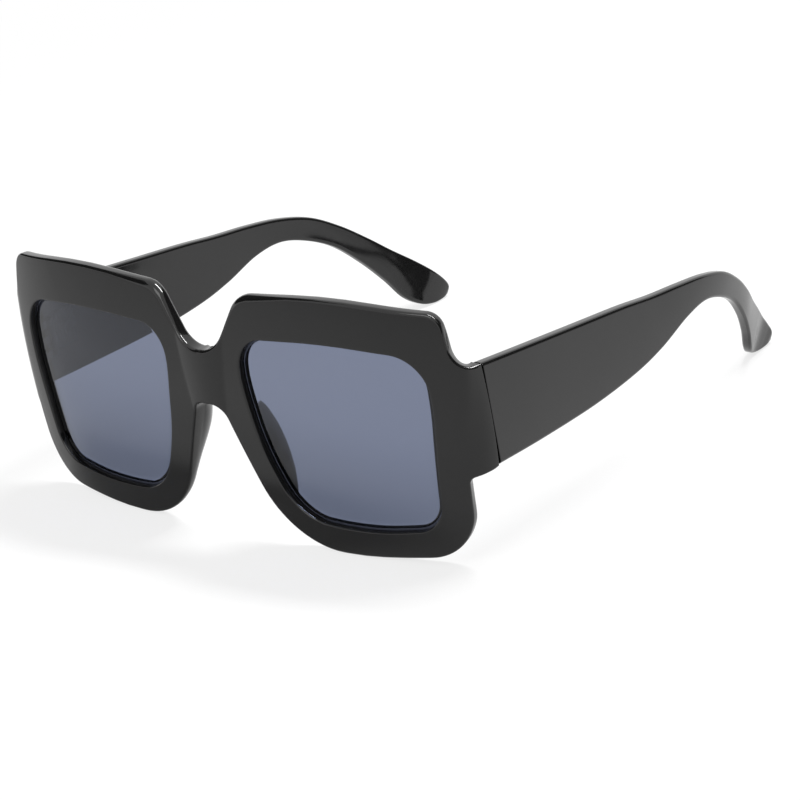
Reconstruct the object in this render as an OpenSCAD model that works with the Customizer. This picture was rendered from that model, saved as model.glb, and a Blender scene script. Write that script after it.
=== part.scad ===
// Oversized square sunglasses with a thick polished front, tinted lenses and broad temples.
// Millimetres, +Z up. The front faces -Y, and the wearer's left is +X.
// They stand open on a table, on the bottoms of the rims and the tips of the temples.
// The origin is on the table, under the middle of the overall box.

/* [Front] */
// Width of the front across both rims
front_w = 148; // [142:1:154]
// Height of the front at the brow
front_h = 65.2; // [62:0.2:68]
// Thickness of the front
front_t = 3.4; // [3.4:0.1:4.2]
// How far the rims' side edges lie behind the bridge
wrap_d = 8.1; // [6:0.1:9]
// Radius of the bow from its foremost height up to the brow
bow_r = 180; // [150:5:300]
// Radius of the bow from there down to the cheek
bow_low_r = 330; // [200:10:500]
// How far the front face swells forward at the middle of the bridge
swell_d = 0.9; // [0.5:0.1:1.2]
// Where the swelling ends, across from the middle
swell_w = 6.6; // [6:0.2:9]
// Rounding of the front's outer edges
edge_r = 0.6; // [0.5:0.05:0.65]
// Rounding of the front's edges round the lenses
lip_r = 0.4; // [0.3:0.05:0.5]

/* [Endpieces] */
// Outer radius of the bend from the front to the temple
bend_r = 8.3; // [7.6:0.1:8.8]
// Straight length of the endpiece between its bend and the seam
lug_flat = 0.1; // [0.1:0.1:0.6]
// Height of the endpiece and of the temple's front end
lug_h = 25.2; // [22:0.2:26]
// Height of the endpiece's top edge above the table
lug_top = 49.3; // [48:0.1:51]
// Open gap of the seam between endpiece and temple
seam_gap = 0.1; // [0.08:0.01:0.2]
// Rounding of the edges at the seam
seam_r = 0.25; // [0.15:0.05:0.35]

/* [Lenses] */
// Thickness of a lens
lens_t = 1.5; // [1.4:0.1:1.6]
// How far the middle of a lens's thickness lies behind the front face
lens_set = 2.25; // [2:0.05:2.25]
// Depth of the groove that holds the lens
groove_d = 1; // [0.8:0.1:1.4]
// Gap between the lens and its groove
lens_gap = 0.06; // [0.04:0.01:0.1]
// Bevel on each side of the lens edge
bevel_h = 0.5; // [0.4:0.05:0.6]

/* [Nose pads] */
// How far a nose pad stands out behind the rim
pad_d = 6; // [4.5:0.1:6.5]
// Greatest width of a nose pad, where the rim is as wide
pad_w = 6.5; // [5:0.1:6.8]
// Glue line between a nose pad and the rim
bond_gap = 0.05; // [0.04:0.01:0.1]

/* [Temples] */
// Reach of a temple from the seam to the rear of its tip
temple_l = 127; // [122:0.2:134]
// Thickness of a temple
temple_t = 3.2; // [3:0.1:3.6]
// How far the tip of a temple turns in from its front end
turn_in = 21.2; // [18:0.2:22]
// Rounding of a temple's long edges
temple_r = 0.9; // [0.6:0.05:1.1]
// Diameter of the core wire inside a temple
wire_d = 1.3; // [1:0.1:1.4]
// Gap between the core wire and the temple round it
wire_gap = 0.05; // [0.04:0.01:0.1]

/* [Hinges] */
// Height of the five knuckles together
hinge_h = 10; // [9:0.5:12]
// Outer diameter of a knuckle
knuckle_d = 2.8; // [2.6:0.1:3]
// Gap between one knuckle and the next
knuckle_gap = 0.05; // [0.04:0.01:0.08]
// Diameter of the hinge screw's shank
screw_d = 1.4; // [1.2:0.1:1.5]
// Gap all round the shank in its bore
screw_fit = 0.03; // [0.02:0.01:0.05]
// Diameter of the screw's head
head_d = 2.1; // [1.9:0.1:2.2]
// Depth of the screw's head, sunk in the top knuckle
head_h = 0.6; // [0.4:0.1:0.8]
// How far the hinge axis lies behind the seam
axis_set = 1.2; // [1:0.1:1.5]
// Gap between the knuckles and the inner face of the temple
axis_gap = 0.15; // [0.12:0.01:0.3]
// Thickness of a hinge leaf
leaf_t = 0.9; // [0.8:0.05:1]
// How far a hinge leaf stands proud of the plastic
leaf_proud = 0.2; // [0.15:0.05:0.3]
// Length of the temple leaf's plate
leaf_l = 8; // [7:0.5:9]
// Length of the front leaf's plate, which lies beside the lens
front_leaf_l = 3.8; // [3.4:0.1:4.2]
// Diameter of the studs that anchor a leaf
stud_d = 1.6; // [1.4:0.1:1.8]
// Depth of a stud behind its leaf
stud_h = 1.1; // [0.8:0.1:1.3]
// Gap between a leaf or its studs and the plastic
leaf_gap = 0.03; // [0.02:0.01:0.05]

/* [Colours] */
plastic_colour = "#2c2c2e";
lens_colour = "#7a7f96";
metal_colour = "#b9babd";

/* [Hidden] */
$fn = 48;

half_w = front_w / 2;

// Corners of half the front's outline, from the middle of the bridge's top edge round to the
// middle of its lower edge. Each is [across, up, radius, rounding of the front edge, of the
// back edge]: across as a share of half_w, up and radius of front_h, roundings of edge_r.
bridge_top_share = 0.747;
bridge_low_share = 0.540;
notch_share = [0.070, bridge_top_share, 0.123, 1, 1.65];
brow_in_share = [0.180, 0.970, 0.123, 1, 2.15];
brow_mid_share = [0.581, 1.001, 2.3, 1, 2.65];
brow_out_share = [0.974, 0.957, 0.075, 1, 2.65];
cheek_out_share = [0.976, 0.041, 0.205, 1, 1.65];
cheek_mid_share = [0.554, -0.0007, 1.69, 1, 1.65];
cheek_in_share = [0.253, 0.002, 0.285, 1, 4.1];
arch_share = [0.063, bridge_low_share, 0.069, 1, 0.25];
// The corners above and below the endpiece: across as shares of half_w, and their radii as
// shares of lug_h.
lug_over_share = 1.010;
lug_under_share = 1.002;
lug_fillet_over_share = 0.26;
lug_fillet_under_share = 0.075;
// How far the endpiece's lower edge drops on its way to the rim, as a share of lug_h.
lug_dip_share = 0.06;

// Corners of a lens opening, clockwise from the top corner beside the bridge, as
// [across, up, radius] in the same shares.
opening_share = [
    [0.176, 0.816, 0.129], [0.568, 0.842, 2.3], [0.919, 0.807, 0.100], [0.924, 0.583, 0.92],
    [0.881, 0.141, 0.153], [0.554, 0.094, 1.69], [0.319, 0.121, 0.230], [0.222, 0.391, 0.92],
    [0.181, 0.644, 0.54]];
// Point inside the opening that the rim's cross-sections look back to.
eye_share = [0.554, 0.567];
// Where the middle row of points crosses the rim, as a share of its width, and the rows beside
// it: shares of the way to that row, then shares of the way on to the outer edge.
knee_share = 0.56;
rim_near_share = [0.5, 1];
rim_far_share = [0.25, 0.5, 0.75];
// Share of wrap_d that comes from the slow curve near the bridge.
wrap_slow_share = 0.09;
// Where the bend into the endpiece begins, as a share of half_w.
bend_share = 0.984;
// Height of the bow's foremost point, as a share of front_h.
bow_mid_share = 0.488;

// Sections of a temple from its front end to its tip: [top edge back, top edge up, lower edge
// back, lower edge up, turned in, thickness], as shares of temple_l, lug_top, temple_l,
// lug_top, turn_in and temple_t.
temple_low_share = (lug_top - lug_h) / lug_top;
temple_share = [
    [0.000, 1.000, 0.000, temple_low_share, 0.000, 1.00],
    [0.123, 0.957, 0.123, 0.479, 0.011, 1.00],
    [0.280, 0.901, 0.280, 0.475, 0.046, 1.00],
    [0.406, 0.856, 0.410, 0.497, 0.075, 1.00],
    [0.496, 0.817, 0.499, 0.538, 0.096, 0.98],
    [0.585, 0.786, 0.587, 0.604, 0.124, 0.96],
    [0.670, 0.747, 0.658, 0.619, 0.177, 0.95],
    [0.744, 0.685, 0.722, 0.568, 0.262, 0.95],
    [0.805, 0.583, 0.781, 0.477, 0.383, 0.95],
    [0.855, 0.469, 0.830, 0.341, 0.524, 0.95],
    [0.896, 0.361, 0.867, 0.201, 0.675, 0.95],
    [0.934, 0.268, 0.891, 0.083, 0.807, 0.95],
    [0.965, 0.185, 0.916, 0.026, 0.912, 0.94],
    [0.987, 0.118, 0.945, 0.003, 0.959, 0.90],
    [1.000, 0.065, 0.971, 0.001, 0.980, 0.78],
    [0.998, 0.030, 0.987, 0.005, 1.001, 0.50]];
temple_steps = 2;
// The core wire runs between these two sections.
wire_from = 1.2;
wire_to = 12;
wire_sides = 6;
wire_steps = 20;

// A nose pad's height along its length in shares of pad_d, and its cross-section as
// [across, out] in shares of its width and height there.
pad_rise_share = [0.06, 0.40, 0.66, 0.85, 0.97, 1, 0.94, 0.82, 0.66, 0.48, 0.30, 0.12];
pad_section_share = [
    [0, 0], [0.03, 0.28], [0.10, 0.48], [0.22, 0.66], [0.38, 0.82], [0.55, 0.94], [0.73, 1],
    [0.87, 0.93], [0.96, 0.62], [1, 0]];
pad_from_share = [0.036, 0.545];
pad_to_share = [0.236, 0.112];

// Longest straight piece of an outline, and the largest turn of one arc piece in degrees.
run_max = 8;
arc_step = 15;
// Nearest that two places can be and still count as two.
same = 0.001;
// Overrun of the cuts.
over = 1;

function lerp(a, b, f) = a + (b - a) * f;
function unit(v) = v / norm(v);
function flat(lists) = [for (l = lists) for (e = l) e];
function spin(v, a) = [v.x * cos(a) - v.y * sin(a), v.x * sin(a) + v.y * cos(a)];
function xy(p) = [p.x, p.y];
function perp(v) = [-v.y, v.x];

// Smooth curve through a table's rows: place 1.5 is halfway between rows 1 and 2.
function row_at(rows, s) =
    let (k = min(floor(s), len(rows) - 2), f = s - k,
         a = rows[max(k - 1, 0)], b = rows[k], c = rows[k + 1], d = rows[min(k + 2, len(rows) - 1)])
    b + (c - a) * (f / 2) + (2 * a - 5 * b + 4 * c - d) * (f * f / 2)
      + (3 * b - a - 3 * c + d) * (f * f * f / 2);

// An outline with arcs at its corners. A corner is [x, y, radius, extras].
function way(c, k) = unit(xy(c[k + 1]) - xy(c[k]));
function turn(c, k) =
    let (a = way(c, k - 1), b = way(c, k)) atan2(a.x * b.y - a.y * b.x, a * b);
function arc_at(c, k) =
    let (a = way(c, k - 1), t = turn(c, k), r = c[k][2], n = perp(a) * sign(t),
         start = xy(c[k]) - a * r * tan(abs(t) / 2), o = start + n * r,
         count = max(1, ceil(abs(t) / arc_step)))
    [for (j = [0 : count]) let (q = o + spin(start - o, t * j / count)) [q.x, q.y, c[k][3], c[k][4]]];
function between(p, q) =
    let (count = ceil(norm(xy(q) - xy(p)) / run_max))
    [for (j = [1 : 1 : count - 1]) lerp(p, q, j / count)];
function join(runs) =
    flat([for (k = [0 : len(runs) - 1])
        concat(runs[k], k < len(runs) - 1 ? between(runs[k][len(runs[k]) - 1], runs[k + 1][0]) : [])]);

// The front is a bent sheet. Its front face runs over the places [u, v]: u across from the
// middle and v up from the table. It lies back slowly by the bridge, faster towards the side,
// and by the side edge it begins to bend round into the endpiece.
function sheet_back(u) =
    let (x = u / half_w) wrap_d * (wrap_slow_share * pow(x, 2) + (1 - wrap_slow_share) * pow(x, 4));
function sheet_angle(u) =
    let (x = u / half_w)
    atan(wrap_d / half_w * (2 * wrap_slow_share * x + 4 * (1 - wrap_slow_share) * pow(x, 3)));
bend_u = bend_share * half_w;
bend_from = sheet_angle(bend_u);
bend_l = bend_r * (90 - bend_from) * PI / 180;
lug_end = bend_u + bend_l + lug_flat;
lug_x = bend_u + bend_r * (1 - sin(bend_from));
seam_y = sheet_back(bend_u) + bend_r * cos(bend_from) + lug_flat;
function plan_angle(u) =
    u <= bend_u ? sheet_angle(u) : min(90, lerp(bend_from, 90, (u - bend_u) / bend_l));
function plan(u) =
    u <= bend_u ? [u, sheet_back(u)]
    : let (a = plan_angle(u), past = max(0, u - bend_u - bend_l))
      [bend_u + bend_r * (sin(a) - sin(bend_from)),
       sheet_back(bend_u) + bend_r * (cos(bend_from) - cos(a)) + past];
function bow(u, v) =
    pow(v - bow_mid_share * front_h, 2) / (2 * (v < bow_mid_share * front_h ? bow_low_r : bow_r))
    * (1 - pow(max(0, min(1, (u - bend_u) / (lug_end - bend_u))), 2));
// The bridge is thicker in the middle: its front face swells forward, and its back doesn't.
function swelling(u, t) = swell_d * max(0, 1 - pow(u / swell_w, 2)) * max(0, 1 - t / front_t);
// Place on the sheet at depth t behind its front face.
function on_sheet(u, v, t) =
    let (a = plan_angle(u), p = plan(u))
    [p.x - t * sin(a), p.y + t * cos(a) + bow(u, v) - swelling(u, t), v];

// Half the front's outline as stations [u, v, front rounding, back rounding].
function corner(s) = [s[0] * half_w, s[1] * front_h, s[2] * front_h, s[3] * edge_r, s[4] * edge_r];
lug_low = lug_top - lug_h;
outline_corners = [
    [0, bridge_top_share * front_h, 0, edge_r, edge_r], corner(notch_share), corner(brow_in_share),
    corner(brow_mid_share), corner(brow_out_share),
    [lug_over_share * half_w, lug_top, lug_fillet_over_share * lug_h, edge_r, edge_r],
    [lug_end, lug_top, seam_r, seam_r, seam_r],
    [lug_end, lug_low, seam_r, seam_r, seam_r],
    [lug_under_share * half_w, lug_low - lug_dip_share * lug_h, lug_fillet_under_share * lug_h,
        edge_r, edge_r],
    corner(cheek_out_share), corner(cheek_mid_share), corner(cheek_in_share), corner(arch_share),
    [0, bridge_low_share * front_h, 0, edge_r, edge_r]];
function outline() =
    let (c = outline_corners, last = len(c) - 1, end = function (k) [c[k].x, c[k].y, c[k][3], c[k][4]])
    join(concat([[end(0)]], [for (k = [1 : last - 1]) arc_at(c, k)], [[end(last)]]));
rim_out = outline();
rim_last = len(rim_out) - 1;
// The stations go on up the bridge's middle plane, where the two halves meet.
mid_count = 3;
stations = concat(rim_out,
    [for (k = [1 : mid_count - 1]) [0, lerp(rim_out[rim_last].y, rim_out[0].y, k / mid_count), 0, 0]]);
station_n = len(stations);

// The lens opening, and the point of it that faces each station.
opening_corners = [for (s = opening_share) [s[0] * half_w, s[1] * front_h, s[2] * front_h, 0, 0]];
opening_loop = let (c = opening_corners, n = len(c), wrapped = concat([c[n - 1]], c, [c[0]]))
    flat([for (k = [1 : n]) arc_at(wrapped, k)]);
eye = [eye_share.x * half_w, eye_share.y * front_h];
function crossing(d) =
    let (n = len(opening_loop))
    [for (k = [0 : n - 1])
        let (p = xy(opening_loop[k]) - eye, q = xy(opening_loop[(k + 1) % n]) - eye,
             a = d.x * p.y - d.y * p.x, b = d.x * q.y - d.y * q.x)
        if (a * b <= 0 && abs(a - b) > 0 && p * d > 0) eye + lerp(p, q, a / (a - b))][0];
open_edge = [for (s = stations) crossing(xy(s) - eye)];
// Directions square to the opening and the outline, both away from the opening.
function away_in(i) =
    unit(perp(open_edge[(i + 1) % station_n] - open_edge[(i + station_n - 1) % station_n]));
// The rounded edge of the front face overhangs the opening by its own radius.
rim_in = [for (i = [0 : station_n - 1]) open_edge[i] - lip_r * away_in(i)];
function away_out(i) =
    i == 0 ? [0, 1] : i == rim_last ? [0, -1] : i > rim_last ? [0, 0]
    : unit(perp(xy(stations[i + 1]) - xy(stations[i - 1])));

// Half sizes of the lens and its groove, measured from the middle of the lens's thickness.
lens_land = lip_r;
lens_bite = groove_d - 2 * lens_gap;
lens_half = lens_t / 2;
lens_edge = lens_half - bevel_h;
lens_at_lip = lens_half - bevel_h * lens_land / (lens_land + lens_bite);
groove_lip = lens_at_lip + lens_gap;
groove_floor = lens_edge + lens_gap;

// Cross-section of the rim at a station, as [u, v, t].
arc_low = 1 - cos(45);
function at(p, t) = [p.x, p.y, t];
// Shares of the rim's width at which its rows lie. Where the section runs on round the bend
// into the endpiece, the middle row follows the line where the bend begins.
function rim_shares(a, b) =
    let (k = b.x > bend_u ? min(knee_share, (bend_u - a.x) / (b.x - a.x)) : knee_share)
    concat([for (s = rim_near_share) s * k], [for (s = rim_far_share) lerp(k, 1, s)]);
function rim_section(i) =
    let (inner = rim_in[i], m = away_in(i), outer = xy(stations[i]), n = away_out(i),
         f = stations[i][2], b = stations[i][3], mid = lens_set,
         from = inner + lip_r * m, to = outer - f * n, to_back = outer - b * n,
         floor_at = inner + groove_d * m, rows = rim_shares(from, to), back = rim_shares(from, to_back))
    concat(
        [at(inner, lip_r), at(from, 0)],
        [for (s = rows) at(lerp(from, to, s), 0)],
        [at(to, 0), at(outer - f * arc_low * n, f * arc_low), at(outer, f),
         at(outer, front_t - b), at(outer - b * arc_low * n, front_t - b * arc_low),
         at(to_back, front_t)],
        [for (k = [len(back) - 1 : -1 : 0]) at(lerp(from, to_back, back[k]), front_t)],
        [at(from, front_t), at(inner, front_t - lip_r), at(inner, mid + groove_lip),
         at(floor_at, mid + groove_floor), at(floor_at, mid - groove_floor),
         at(inner, mid - groove_lip)]);

// Triangles of a grid whose rings have n points each, rings and points both running on.
function cell(a, b, c, d) = [[a, b, c], [a, c, d]];
function tube_faces(rings, n) =
    flat([for (i = [0 : rings - 2]) for (j = [0 : n - 1])
        cell(i * n + j, i * n + (j + 1) % n, (i + 1) * n + (j + 1) % n, (i + 1) * n + j)]);
module tube(rings) {
    n = len(rings[0]);
    last = (len(rings) - 1) * n;
    polyhedron(flat(rings), concat(tube_faces(len(rings), n),
        [[for (j = [n - 1 : -1 : 0]) j]], [[for (j = [0 : n - 1]) last + j]]));
}

// The whole plate: one half from the sections, the other its mirror image. The two share the
// points of the middle plane, and no wall is made there.
function plate_points() = [for (i = [0 : station_n - 1]) for (p = rim_section(i)) on_sheet(p.x, p.y, p.z)];
foremost = min([for (p = plate_points()) p.y]);
module plate() {
    pts = plate_points();
    rows = len(pts) / station_n;
    edge_from = 2 + len(rim_near_share) + len(rim_far_share);
    edge_to = edge_from + 5;
    half = flat([for (i = [0 : station_n - 1]) for (j = [0 : rows - 1])
        if (i < rim_last || j < edge_from || j >= edge_to)
            let (n = (i + 1) % station_n, k = (j + 1) % rows)
            cell(i * rows + j, i * rows + k, n * rows + k, n * rows + j)]);
    count = len(pts);
    twin = function (k) abs(pts[k].x) < same ? k : k + count;
    polyhedron(concat(pts, [for (p = pts) [-p.x, p.y, p.z]]),
        concat(half, [for (f = half) [twin(f[2]), twin(f[1]), twin(f[0])]]));
}

// Hinge of the wearer's left side. Its axis stands upright behind the seam.
knuckle_r = knuckle_d / 2;
temple_in = lug_x - temple_t;
hinge_x = temple_in - knuckle_r - axis_gap;
hinge_y = seam_y + axis_set;
hinge_z = lug_top - lug_h / 2;
hinge_low = hinge_z - hinge_h / 2;
knuckle_h = (hinge_h - 4 * knuckle_gap) / 5;
knuckle_pitch = knuckle_h + knuckle_gap;
// The front leaf lies on the back of the rim, and the temple leaf along the temple's inner face.
seat_u = bend_u + leaf_t / 2 - front_leaf_l / 2;
seat_angle = plan_angle(seat_u);
seat_at = on_sheet(seat_u, hinge_z, front_t);
temple_leaf_y = hinge_y + knuckle_r;
stud_pitch = hinge_h / 2;
// How far in from a plate's end the webs of its knuckles begin, so that they leave the plate on
// its open side.
web_in = knuckle_r * 1.1;

module placed() { translate([0, -(foremost + depth) / 2, 0]) children(); }
module right() { mirror([1, 0, 0]) children(); }
module at_front_leaf() { translate(seat_at) rotate(seat_angle) children(); }
module at_temple_leaf() { translate([temple_in, temple_leaf_y + leaf_l / 2, hinge_z]) rotate(90) children(); }

// A leaf in its own frame: the plate along X, its outer face at +Y and its studs towards -Y.
module leaf_plate(l, grow) {
    translate([-l / 2 - grow, leaf_proud - leaf_t - grow, -hinge_h / 2 - grow])
        cube([l + 2 * grow, leaf_t + grow * 2, hinge_h + 2 * grow]);
}
module leaf_studs(grow) {
    for (side = [-1, 1])
        translate([0, leaf_proud - leaf_t, side * stud_pitch / 2]) rotate([90, 0, 0])
            translate([0, 0, -grow]) cylinder(d = stud_d + 2 * grow, h = stud_h + 2 * grow);
}
module leaf_seat(l) {
    leaf_plate(l, leaf_gap);
    leaf_studs(leaf_gap);
}
module strip(p, q, w) {
    translate(p) rotate(atan2(q.y - p.y, q.x - p.x)) translate([0, -w / 2]) square([norm(q - p), w]);
}
// One knuckle with the web that carries it, at place k counted from below.
module knuckle(k, root) {
    translate([0, 0, hinge_low + k * knuckle_pitch]) linear_extrude(knuckle_h) {
        translate([hinge_x, hinge_y]) circle(d = knuckle_d);
        strip(root, [hinge_x, hinge_y], leaf_t);
    }
}
module screw_bore() {
    translate([hinge_x, hinge_y, hinge_low - over])
        cylinder(d = screw_d + 2 * screw_fit, h = hinge_h + 2 * over);
}
module front_leaf() {
    root = xy(seat_at) + spin([front_leaf_l / 2 - web_in, leaf_proud - leaf_t / 2], seat_angle);
    difference() {
        union() {
            at_front_leaf() { leaf_plate(front_leaf_l, 0); leaf_studs(0); }
            for (k = [0, 2, 4]) knuckle(k, root);
        }
        screw_bore();
        translate([hinge_x, hinge_y, hinge_low + hinge_h - head_h - screw_fit])
            cylinder(d = head_d + 2 * screw_fit, h = head_h + over);
    }
}
module temple_leaf() {
    root = [temple_in - leaf_proud + leaf_t / 2, temple_leaf_y + web_in];
    difference() {
        union() {
            at_temple_leaf() { leaf_plate(leaf_l, 0); leaf_studs(0); }
            for (k = [1, 3]) knuckle(k, root);
        }
        screw_bore();
    }
}
module screw() {
    translate([hinge_x, hinge_y, hinge_low]) {
        cylinder(d = screw_d, h = hinge_h - head_h);
        translate([0, 0, hinge_h - head_h]) cylinder(d = head_d, h = head_h);
    }
}

// Temple of the wearer's left side, swept through its sections.
function temple_place(s) =
    let (r = row_at(temple_share, s), back = seam_y + seam_gap)
    [[back + r[0] * temple_l, r[1] * lug_top], [back + r[2] * temple_l, r[3] * lug_top],
     lug_x - r[4] * turn_in, r[5] * temple_t];
// A ring at place s, drawn in by inset: round corners, outer face first.
function temple_ring(s, inset) =
    let (p = temple_place(s), up = unit(p[0] - p[1]), w = norm(p[0] - p[1]), t = p[3],
         r = min(temple_r, t * 0.45, w * 0.45), mid = (p[0] + p[1]) / 2)
    [for (c = [0 : 3]) for (j = [0 : 3])
        let (a = 90 * c + 30 * j, sx = (c == 0 || c == 3) ? 1 : -1, sy = c < 2 ? 1 : -1,
             across = sx * (t / 2 - r) + (r - inset) * cos(a),
             along = sy * (w / 2 - r) + (r - inset) * sin(a), q = mid + along * up)
        [p[2] - t / 2 + across, q.x, q.y]];
temple_last = len(temple_share) - 1;
temple_rings = concat([temple_ring(0, seam_r)],
    [for (k = [0 : temple_last * temple_steps])
        temple_ring(max(k / temple_steps, seam_r / temple_l / temple_share[1][0]), 0)]);
depth = max([for (r = temple_rings) for (p = r) p.y]);

function wire_middle(s) = let (p = temple_place(s), m = (p[0] + p[1]) / 2) [p[2] - p[3] / 2, m.x, m.y];
wire_nudge = 0.02;
function wire_ring(s, r) =
    let (d = unit(wire_middle(s + wire_nudge) - wire_middle(s - wire_nudge)),
         e = unit(cross([1, 0, 0], d)), f = cross(e, d))
    [for (j = [0 : wire_sides - 1])
        let (a = 360 * j / wire_sides) wire_middle(s) + r * (cos(a) * e + sin(a) * f)];
module wire_tube(r, grow) {
    tube([for (k = [0 : wire_steps])
        wire_ring(lerp(wire_from - grow, wire_to + grow, k / wire_steps), r)]);
}

// The pad follows the outline's stations along the nose. It stands on the flat of the rim's back,
// from where the outer edge's rounding ends to where the rounding round the lens begins.
function nearest(s) =
    let (want = [s.x * half_w, s.y * front_h], far = [for (p = rim_out) norm(xy(p) - want)],
         low = min(far))
    [for (i = [0 : rim_last]) if (far[i] == low) i][0];
pad_a = nearest(pad_to_share);
pad_b = nearest(pad_from_share);
function pad_ring(i) =
    let (f = (pad_b - i) / (pad_b - pad_a), n = away_out(i), edge = xy(stations[i]),
         rise = pad_d * row_at(pad_rise_share, f * (len(pad_rise_share) - 1)),
         near = stations[i][3], far = min(pad_w, norm(edge - rim_in[i]) - 2 * lip_r))
    [for (s = pad_section_share)
        let (p = edge - n * lerp(near, far, s[0])) on_sheet(p.x, p.y, front_t + bond_gap + rise * s[1])];

module front_frame() {
    color(plastic_colour) difference() {
        plate();
        at_front_leaf() leaf_seat(front_leaf_l);
        right() at_front_leaf() leaf_seat(front_leaf_l);
    }
}
lens_ring_share = 0.55;
module lens() {
    mid = lens_set;
    ring = function (share, step, t) [for (i = [0 : station_n - 1])
        let (p = eye + (rim_in[i] + step * away_in(i) - eye) * share) on_sheet(p.x, p.y, mid + t)];
    rings = [ring(lens_ring_share, -lens_land, -lens_half), ring(1, -lens_land, -lens_half),
        ring(1, lens_bite, -lens_edge), ring(1, lens_bite, lens_edge),
        ring(1, -lens_land, lens_half), ring(lens_ring_share, -lens_land, lens_half)];
    n = station_n;
    last = (len(rings) - 1) * n;
    tip = len(rings) * n;
    color(lens_colour) polyhedron(
        concat(flat(rings), [on_sheet(eye.x, eye.y, mid - lens_half), on_sheet(eye.x, eye.y, mid + lens_half)]),
        concat([for (f = tube_faces(len(rings), n)) [f[2], f[1], f[0]]],
            [for (j = [0 : n - 1]) [tip, j, (j + 1) % n]],
            [for (j = [0 : n - 1]) [tip + 1, last + (j + 1) % n, last + j]]));
}
module nose_pad() { color(plastic_colour) tube([for (i = [pad_a : pad_b]) pad_ring(i)]); }
module temple() {
    color(plastic_colour) difference() {
        tube(temple_rings);
        at_temple_leaf() leaf_seat(leaf_l);
        wire_tube(wire_d / 2 + wire_gap, wire_nudge);
    }
}
module core_wire() { color(metal_colour) wire_tube(wire_d / 2, 0); }

placed() front_frame();
placed() lens();  // left_lens
placed() right() lens();  // right_lens
placed() nose_pad();  // left_nose_pad
placed() right() nose_pad();  // right_nose_pad
placed() color(metal_colour) front_leaf();  // left_front_hinge_leaf
placed() right() color(metal_colour) front_leaf();  // right_front_hinge_leaf
placed() color(metal_colour) temple_leaf();  // left_temple_hinge_leaf
placed() right() color(metal_colour) temple_leaf();  // right_temple_hinge_leaf
placed() color(metal_colour) screw();  // left_hinge_screw
placed() right() color(metal_colour) screw();  // right_hinge_screw
placed() temple();  // left_temple
placed() right() temple();  // right_temple
placed() core_wire();  // left_core_wire
placed() right() core_wire();  // right_core_wire
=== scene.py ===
import math

import bpy
import numpy as np
from mathutils import Matrix


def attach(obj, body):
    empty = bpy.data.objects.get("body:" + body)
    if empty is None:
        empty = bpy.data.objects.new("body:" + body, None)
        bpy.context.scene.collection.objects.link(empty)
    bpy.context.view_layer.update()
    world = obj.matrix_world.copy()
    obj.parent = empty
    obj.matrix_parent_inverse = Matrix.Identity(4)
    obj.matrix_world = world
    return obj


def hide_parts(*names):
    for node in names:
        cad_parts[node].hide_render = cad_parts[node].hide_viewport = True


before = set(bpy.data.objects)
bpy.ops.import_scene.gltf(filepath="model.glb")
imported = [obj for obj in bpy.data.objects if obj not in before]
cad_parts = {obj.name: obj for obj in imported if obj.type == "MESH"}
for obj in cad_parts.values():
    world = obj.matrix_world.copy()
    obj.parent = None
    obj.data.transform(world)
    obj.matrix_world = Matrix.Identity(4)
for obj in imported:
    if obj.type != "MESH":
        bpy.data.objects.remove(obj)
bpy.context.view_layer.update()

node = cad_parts

# The front. One plate of acetate, cut to the outline of both rims and the bridge, bent to wrap
# round the face and bent sharply at each side into an endpiece. It is tumbled to a high gloss,
# which rounds its edges, and each opening has a groove for its lens.
#
# Lengths are in millimetres. In the names a lug is an endpiece, u runs across the plate from its
# middle, v up and t back from its face, and w, h, l, t, d and r stand for width, height, length,
# thickness, depth and radius.
front_w, front_h, front_t = 148.0, 65.2, 3.4
half_w = front_w / 2
wrap_d, wrap_slow = 8.1, 0.09
bow_r, bow_low_r, bow_mid = 180.0, 330.0, 0.488
swell_d, swell_w, swell_grow, swell_mid = 0.9, 6.6, 0.12, 40.0
crown_r = 100.0
edge_r, lip_r = 0.6, 0.4
bend_r, lug_flat = 8.3, 0.1
lug_h, lug_top = 25.2, 49.3
lug_low = lug_top - lug_h
seam_forward, seam_gap, seam_r, seam_ease = 0.85, 0.60, 0.15, 1.0
lens_t, lens_set, groove_d, lens_gap, bevel_h = 1.5, 2.25, 1.0, 0.06, 0.5

# How far forward and back the glasses reach from the middle of the front, to centre them.
foremost, rearmost = -0.856, 142.525
middle_y = (foremost + rearmost) / 2


def sheet_back(u):
    """How far the sheet lies back at u: a little of the square and most of the fourth power."""
    x = u / half_w
    return wrap_d * (wrap_slow * x ** 2 + (1 - wrap_slow) * x ** 4)


def sheet_angle(u):
    """The sheet's slope in plan at u, which is the arc tangent of the lie-back's derivative."""
    x = u / half_w
    return np.arctan(wrap_d / half_w * (2 * wrap_slow * x + 4 * (1 - wrap_slow) * x ** 3))


bend_u = 0.984 * half_w
bend_from = float(sheet_angle(bend_u))
bend_l = bend_r * (math.pi / 2 - bend_from)
lug_end = bend_u + bend_l + lug_flat
lug_x = bend_u + bend_r * (1 - math.sin(bend_from))
seam_y = float(sheet_back(bend_u)) + bend_r * math.cos(bend_from) + lug_flat


def crown(along, wide):
    """How far an outer face of a given width stands out at a distance from its middle line: an
    arc of radius crown_r through both its edges."""
    return np.maximum(0, (wide / 2) ** 2 - along ** 2) / (2 * crown_r)


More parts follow.
